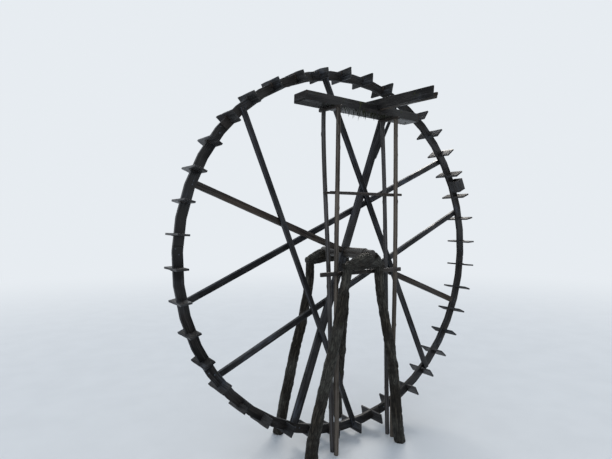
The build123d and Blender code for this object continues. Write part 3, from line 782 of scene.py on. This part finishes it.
def pole_path(top, foot, bends, share):
    """Line from the foot to the top, with its sideways bends."""
    x = foot[0] + (top[0] - foot[0]) * share + bend_at(share, POLE_BENDS_AT, bends)
    y = foot[1] + (top[1] - foot[1]) * share
    top_z = TROUGH_BOTTOM - top[0] * sin(TROUGH_TURN) - 0.035
    return np.stack([x, y, FLOOR_Z + (top_z - FLOOR_Z) * share], axis=1)


def pole_shape(top, foot, bends, seed):
    """Peeled pole on the curve through its bends, with small knots where its side branches grew."""
    rng = np.random.default_rng(seed)
    share = np.concatenate([[0], np.linspace(0.001, 1, 260)])
    path = pole_path(top, foot, bends, share)
    radius = 0.0312 - 0.001 * share
    radius[0] -= 0.003
    places = [(along, rng.uniform(-pi, pi), 0.02, rng.uniform(0.004, 0.009))
              for along in np.arange(0.25, 4.3, 0.33) + rng.uniform(-0.1, 0.1, 13)]

    def cut(grain):
        slow = waviness(grain, (0.25, 0.03, 0.03), 1)
        return 0.0012 * (1 + slow) - knots(grain - GRAIN_SHIFT * seed, 0.03, places)
    shape = log(path, radius, seed, cut, 28)
    level = np.maximum(shape.points[:, 2], FLOOR_Z)
    return shape._replace(points=np.column_stack([shape.points[:, :2], level]))


for seed, (name, pole) in enumerate(POLES.items()):
    finish = pole_wood if "near" in name else dark_pole_wood
    piece("peeled_" + name, [pole_shape(*pole, 110 + seed)], "frame", finish, [name], 50)


# Side of each cross stick, and how far its ends lie from the far pole towards the near one
STICK_SIZE, STICK_ENDS = 0.045, (-0.077, 0.32)

for side, seed in (("left", 120), ("right", 121)):
    far, near = np.array(POLES["pole_far_" + side][0]), np.array(POLES["pole_near_" + side][0])
    run = (near - far) / (far[1] - near[1])
    start, end = (np.array([*(far + run * reach), -STICK_SIZE / 2]) for reach in STICK_ENDS)
    stick = timber(start, end, (0, 0, 1), STICK_SIZE, STICK_SIZE, seed, 0.006, 0.003, 0.012,
                   squared_section(4, 4, 3))
    piece("stick_block_" + side, [moved(stick, along_trough)], "frame", dark_pole_wood,
          ["stick_" + side])


def tie_corners(name):
    """Lowest and highest corner of a tie, from the hub."""
    return [np.array(corner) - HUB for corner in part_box(name)]


for seed, name in enumerate(("tie_upper_far", "tie_upper_near", "tie_lower")):
    low, high = tie_corners(name)
    middle = (low + high) / 2
    tie = timber((low[0], middle[1], middle[2]), (high[0], middle[1], middle[2]), (0, 0, 1), high[1] - low[1],
                 high[2] - low[2], 125 + seed, 0.007, 0.004, 0.02, squared_section(3, 3, 3))
    piece("split_" + name, [tie], "frame", dark_pole_wood, [name])


# Trough and outlet

def plank(low, high, seed, edge=0.004, depth=0.0025):
    """Sawn plank of the trough between two corners."""
    return plank_between(low, high, seed, edge, depth, 0.02, squared_section(2, 9, 3))


near_inside, far_inside = TROUGH_NEAR + TROUGH_PLANK, TROUGH_FAR - TROUGH_PLANK
left_inside, right_inside = TROUGH_LEFT + TROUGH_PLANK, TROUGH_RIGHT - TROUGH_PLANK
planks = {
    "trough_floor": ((TROUGH_LEFT, near_inside, 0), (TROUGH_RIGHT, far_inside, TROUGH_PLANK)),
    "trough_far_wall": ((TROUGH_LEFT, far_inside, 0), (TROUGH_RIGHT, TROUGH_FAR, TROUGH_HEIGHT)),
    "trough_left_end": ((TROUGH_LEFT, near_inside, TROUGH_PLANK), (left_inside, far_inside, TROUGH_HEIGHT)),
    "trough_right_end": ((right_inside, near_inside, TROUGH_PLANK), (TROUGH_RIGHT, far_inside, TROUGH_HEIGHT)),
}
for seed, (name, (low, high)) in enumerate(planks.items()):
    shape = moved(plank(low, high, 130 + seed), along_trough)
    finish = soaked_wood if "floor" in name else trough_wood
    piece("mossy_" + name, [shape], "frame", finish, [name])


def near_wall():
    """Near wall, on which the top is lowered to a sill where the outlet lies over it."""
    sill, last, edge = 0.062, 0.341, 0.004
    x = np.concatenate([
        [TROUGH_LEFT],
        np.linspace(TROUGH_LEFT + edge, OUTLET_X - 0.001, 58),
        np.linspace(OUTLET_X, last, 8),
        np.linspace(last + 0.001, TROUGH_RIGHT - edge, 34),
        [TROUGH_RIGHT],
    ])
    inset = drawn_in(len(x), edge)
    path = np.stack([x, 0 * x + TROUGH_NEAR + TROUGH_PLANK / 2, 0 * x + TROUGH_HEIGHT / 2], axis=1)
    shape = swept(path, (0, 0, 1), (0, 1, 0), TROUGH_HEIGHT / 2 - inset, TROUGH_PLANK / 2 - inset, edge,
                  squared_section(2, 11, 3), hewn(0.0025), 136)
    px, py, pz = shape.points.T
    over = (px > OUTLET_X - 0.0005) & (px < last + 0.0005)
    slope = sin(OUTLET_TURN) * (py - TROUGH_NEAR)
    pz = np.where(over, np.minimum(pz, sill + slope - 0.004), pz)
    return moved(shape._replace(points=np.stack([px, py, pz], axis=1)), along_trough)


piece("mossy_trough_near_wall", [near_wall()], "frame", trough_wood, ["trough_near_wall"])

outlet = plank((0, -0.962, 0.014), (0.025, 0.258, 0.150), 140, 0.004, 0.003)
piece("outlet_board_grained", [moved(outlet, along_outlet)], "frame", trough_wood,
      ["outlet_board"])


def gutter():
    """Hollowed log: an outer line with rounded lower edges and an inner groove, carried outwards. Its outer
    end is broken off unevenly, and both lines stray a little along it."""
    left_x, low, top, middle_x, radius = 0.025, 0.010, 0.094, 0.075, 0.034
    groove_left, groove_right = 0.041, 0.109
    arc = np.linspace(0, pi / 2, 7)
    outer_x = np.concatenate([[left_x, left_x, left_x], left_x + radius - radius * np.cos(arc), [middle_x]])
    outer_z = np.concatenate([[top, 0.07, 0.05], low + radius - radius * np.sin(arc), [low]])
    outer_x = np.concatenate([outer_x, 2 * middle_x - outer_x[-2::-1]])
    outer_z = np.concatenate([outer_z, outer_z[-2::-1]])
    turn = np.linspace(pi, 2 * pi, len(outer_x) - 4)
    across = middle_x + radius * np.cos(turn)
    inner_x = np.concatenate([[groove_left, groove_left], across, [groove_right, groove_right]])
    inner_z = np.concatenate([[top, top - 0.013], top - 0.026 + radius * np.sin(turn), [top - 0.013, top]])
    line_x = np.concatenate([outer_x, inner_x[::-1]])
    line_z = np.concatenate([outer_z, inner_z[::-1]])
    y = np.concatenate([[-0.955], np.linspace(-0.952, 0.168, 110), [0.17]])
    grain = np.stack(np.broadcast_arrays(y[:, None], line_x, line_z), axis=-1)
    stray = 0.003 * waviness(grain, (0.2, 0.04, 0.04), 1) + 0.0015 * waviness(grain, (0.05, 0.012, 0.012), 2)
    middle = np.array([middle_x, 0.052])
    away = grain[..., 1:] - middle
    shrink = 1 - (0.035 + stray[..., None] * 12) * 0.9
    flat = middle + away * np.clip(shrink, 0.9, 1)
    ragged = 0.045 * (0.5 + 0.5 * waviness(np.stack([0 * line_x, line_x, line_z], 1), (1, 0.028, 0.02), 6))
    reach = np.clip((-0.80 - y[:, None]) / 0.155, 0, 1) ** 2 * ragged
    points = np.stack([flat[..., 0], y[:, None] + reach, flat[..., 1]], axis=-1)
    faces = skin(points)
    points = points.reshape(-1, 3)
    wear = np.broadcast_to((line_z > top - 0.002) * 0.8, grain.shape[:2]).ravel()
    return moved(Shape(points, faces, grain.reshape(-1, 3) + 300, wear), along_outlet)


piece("gutter_hollowed", [gutter()], "frame", gutter_wood, ["outlet_gutter"], 45)


# Pegs, wedges, nails and moss

# Radius and length of each kind
RIM_PEG, ARM_PEG = (0.0095, 0.062), (0.0085, 0.056)
BOARD_NAIL, TROUGH_NAIL, TIE_NAIL = (0.0045, 0.03), (0.005, 0.008), (0.0045, 0.008)


def peg(place, axis, radius, length, seed):
    """Short round peg through a point, along an axis, with slightly drawn-in ends."""
    place, axis = np.asarray(place, float), np.asarray(axis, float)
    along = np.array([0, 0.002, 0.3 * length, 0.7 * length, length - 0.002, length]) - length / 2
    size = np.array([radius - 0.002, radius, radius, radius, radius, radius - 0.002])
    return log(place + axis * along[:, None], size, seed, None, 12)


def rim_pegs():
    """Two pegs through each half-lap and two through the end of each crossing arm."""
    spots = [(FIRST_CORNER + FELLOE_TURN * index + turn, radius) for index in range(FELLOES)
             for turn, radius in ((radians(-0.75), 2.445), (radians(0.75), 2.402))]
    along = 2.398
    for angle, aside, _ in (RISING_ARM, LEVEL_ARM):
        for side in (-1, 1):
            for across in (-0.022, 0.022):
                turn = np.arctan2(side * (aside + across), along)
                spots.append((radians(angle) + (pi if side < 0 else 0) + turn, np.hypot(along, aside + across)))
    return [peg(polar(radius, angle), ALONG, *RIM_PEG, 200 + index)
            for index, (angle, radius) in enumerate(spots)]


def arm_pegs():
    """Two pegs through each end of the arms on the faces of the rim."""
    pegs = []
    for first, second, _, y in FACE_ARMS.values():
        ends = [polar(ARM_END, radians(angle), y) for angle in (first, second)]
        for start, end in (ends, ends[::-1]):
            run = (end - start) / np.linalg.norm(end - start)
            side = np.cross(run, ALONG)
            for reach, across in ((0.028, -0.014), (0.062, 0.014)):
                place = start + run * reach + side * across + ALONG * np.sign(y) * 0.003
                pegs.append(peg(place, ALONG, *ARM_PEG, 250 + len(pegs)))
    return pegs


def wedge(index, rng):
    """Thin split wedge that holds a board tight in the rim, beside its leading face."""
    radial, tangent = directions(index)
    middle = radial * (2.448 + rng.uniform(-0.004, 0.004)) + tangent * 0.0165
    near, far = -0.033 - rng.uniform(0, 0.012), 0.030 + rng.uniform(0, 0.006)
    return timber(middle + ALONG * near, middle + ALONG * far, tangent, 0.066, 0.010, 300 + index, 0.002, 0.001,
                  0.02, squared_section(1, 3, 2))


def board_nails():
    """A nail through the near and the far part of each board, close to the rim."""
    nails = []
    for index in range(BOARDS):
        radial, tangent = directions(index)
        for y in (-0.05, 0.052):
            nails.append(peg(radial * 2.41 + ALONG * y, tangent, *BOARD_NAIL, 350 + index))
    return nails


piece("rim_treenails", rim_pegs(), "wheel", board_wood)
piece("arm_treenails", arm_pegs(), "wheel", brown_wood)
piece("board_wedges", [wedge(index, rng) for index in range(BOARDS)], "wheel", brown_wood)
piece("board_nails", board_nails(), "wheel", rusty_iron)


def trough_nails():
    """Nails along the lower edge of both walls and at the corners, in the trough's own directions."""
    row = np.linspace(TROUGH_LEFT + 0.06, TROUGH_RIGHT - 0.06, 9)
    spots = [(x, y, 0.012 + 0.004 * (index % 2)) for y in (TROUGH_NEAR - 0.0006, TROUGH_FAR + 0.0006)
             for index, x in enumerate(row)]
    spots += [(x, y, z) for x in (TROUGH_LEFT + 0.012, TROUGH_RIGHT - 0.012) for y in (TROUGH_NEAR, TROUGH_FAR)
              for z in (0.045, 0.075, 0.103)]
    return [moved(peg(place, ALONG, *TROUGH_NAIL, 400 + index), along_trough)
            for index, place in enumerate(spots)]


piece("trough_nails", trough_nails(), "frame", rusty_iron)


def tie_nails():
    """Two nail heads on the near face of each tie where it crosses a pole of its own side."""
    nails = []
    for name, side in (("tie_upper_far", "far"), ("tie_upper_near", "near"), ("tie_lower", "near")):
        low, high = tie_corners(name)
        height = (low[2] + high[2]) / 2
        for end in ("left", "right"):
            path = pole_path(*POLES[f"pole_{side}_{end}"], np.linspace(0, 1, 200))
            x = path[np.argmin(abs(path[:, 2] - height)), 0]
            for aside in (-0.009, 0.009):
                place = (x + aside, low[1] + 0.001, height + aside * 0.6)
                nails.append(peg(place, ALONG, *TIE_NAIL, 440 + len(nails)))
    return nails


piece("tie_nails", tie_nails(), "frame", rusty_iron)


def strand(root, length, seed, rng):
    """Hanging thread of moss: it falls from its root, strays by a slow wave and thins to its tip."""
    share = np.linspace(0, 1, 7)
    stray = rng.normal(0, 0.12, 2)[None] * length * share[:, None] ** 1.5
    path = np.stack([root[0] + stray[:, 0], root[1] + stray[:, 1], root[2] + 0.004 - length * share], axis=1)
    radius = rng.uniform(0.003, 0.0055) * (1 - 0.8 * share)
    return swept(path, (1, 0, 0), (0, 1, 0), radius, radius, radius, round_section(6), None, seed)


def moss_fringe(seed):
    """Threads of moss below the trough. Most hang from its near lower edge, and they are longest near its
    middle."""
    rng = np.random.default_rng(seed)
    middle = 0.05
    strands = []
    for index in range(230):
        x = rng.normal(middle, 0.42)
        if not TROUGH_LEFT + 0.02 < x < TROUGH_RIGHT - 0.02:
            continue
        at_edge = rng.random() < 0.7
        y = TROUGH_NEAR + abs(rng.normal(0, 0.03)) if at_edge else rng.uniform(TROUGH_NEAR, TROUGH_FAR)
        root = along_trough(np.array([[x, y + 0.002, 0.0]]))[0]
        length = rng.uniform(0.008, 0.05) * (0.5 + np.exp(-((x - middle) / 0.35) ** 2))
        strands.append(strand(root, length, 500 + index, rng))
    return strands


piece("moss_fringe", moss_fringe(11), "frame", wet_moss)


# Floor, light and camera

BACKGROUND = (0.80, 0.84, 0.88)
FLOOR_RADIUS, FLOOR_CORNERS = 160, 96
FADE_START, FADE_END = 5, 24
CAMERA_FROM_HUB = (-4.2624, -5.3477, 0.4447)
CAMERA_LENS, CAMERA_TILT, CAMERA_TURN = 28.82, 88.925, -33.834


def flat_floor():
    """Large level disc under the wheel, which fades into the colour of the background far off."""
    turn = np.linspace(0, 2 * pi, FLOOR_CORNERS + 1)[:-1]
    rim = np.stack([FLOOR_RADIUS * np.cos(turn), FLOOR_RADIUS * np.sin(turn), 0 * turn], axis=1)
    mesh = bpy.data.meshes.new("floor")
    mesh.from_pydata(rim.tolist(), [], [list(range(FLOOR_CORNERS))])
    floor = bpy.data.objects.new("floor", mesh)
    bpy.context.scene.collection.objects.link(floor)
    finish, shader, start = new_finish("floor_paint", 0.3)
    place = start.place()
    shade = place.noise(3, 0.5, scale=1.7).ramp(0.2, 0.8)
    colour = shade.blend((0.66, 0.68, 0.70), (0.69, 0.71, 0.73))
    start.tree.links.new(colour.socket, shader.inputs["Base Color"])
    shader.inputs["Roughness"].default_value = 0.9
    reach = start.node("ShaderNodeVectorMath", {"operation": "LENGTH"}, {0: place}, "Value")
    seen = start.node("ShaderNodeLightPath", {}, {}, "Is Camera Ray")
    glow = start.node("ShaderNodeEmission", {}, {"Color": (*BACKGROUND, 1), "Strength": 1.0})
    face = Socket(start.tree, shader.outputs["BSDF"])
    faded = reach.ramp(FADE_START, FADE_END) * seen
    mixed = start.node("ShaderNodeMixShader", {}, {0: faded, 1: face, 2: glow})
    start.tree.links.new(mixed.socket, start.tree.nodes["Material Output"].inputs["Surface"])
    mesh.materials.append(finish)


def sky():
    """Soft light from all round, and a pale background where the camera or a gloss sees past the object."""
    world = bpy.data.worlds.new("soft_light")
    bpy.context.scene.world = world
    world.use_nodes = True
    tree = world.node_tree
    tree.nodes.clear()
    start = Socket(tree)
    rays = [start.node("ShaderNodeLightPath", {}, {}, kind)
            for kind in ("Is Camera Ray", "Is Glossy Ray", "Is Transmission Ray")]
    seen = start.maths("MAXIMUM", rays[0], start.maths("MAXIMUM", rays[1], rays[2]))
    light = start.node("ShaderNodeBackground", {}, {"Color": (0.78, 0.88, 1.0, 1), "Strength": 0.6})
    shown = start.node("ShaderNodeBackground", {}, {"Color": (*BACKGROUND, 1), "Strength": 1.0})
    mixed = start.node("ShaderNodeMixShader", {}, {0: seen, 1: light, 2: shown})
    output = tree.nodes.new("ShaderNodeOutputWorld")
    tree.links.new(mixed.socket, output.inputs["Surface"])


def soft_sun(name, azimuth, height, strength, spread, colour):
    """Even light from one side of the sky, as soft as its spread is wide, in degrees."""
    lamp = bpy.data.lights.new(name, "SUN")
    lamp.energy = strength
    lamp.angle = radians(spread)
    lamp.color = colour
    made = bpy.data.objects.new(name, lamp)
    made.rotation_euler = (radians(90 - height), 0, radians(azimuth + 90))
    bpy.context.scene.collection.objects.link(made)


flat_floor()
sky()
soft_sun("back_sun", 42, 38, 1.5, 25, (1.0, 0.94, 0.86))
soft_sun("front_sun", 215, 40, 0.7, 60, (0.94, 0.97, 1.0))

camera_data = bpy.data.cameras.new("camera")
camera_data.sensor_fit = "HORIZONTAL"
camera_data.sensor_width = 36
camera_data.lens = CAMERA_LENS
camera = bpy.data.objects.new("camera", camera_data)
camera.location = HUB + np.array(CAMERA_FROM_HUB)
camera.rotation_euler = (radians(CAMERA_TILT), 0, radians(CAMERA_TURN))
bpy.context.scene.collection.objects.link(camera)
bpy.context.scene.camera = camera
bpy.context.scene.view_settings.view_transform = "Standard"

bpy.context.view_layer.update()
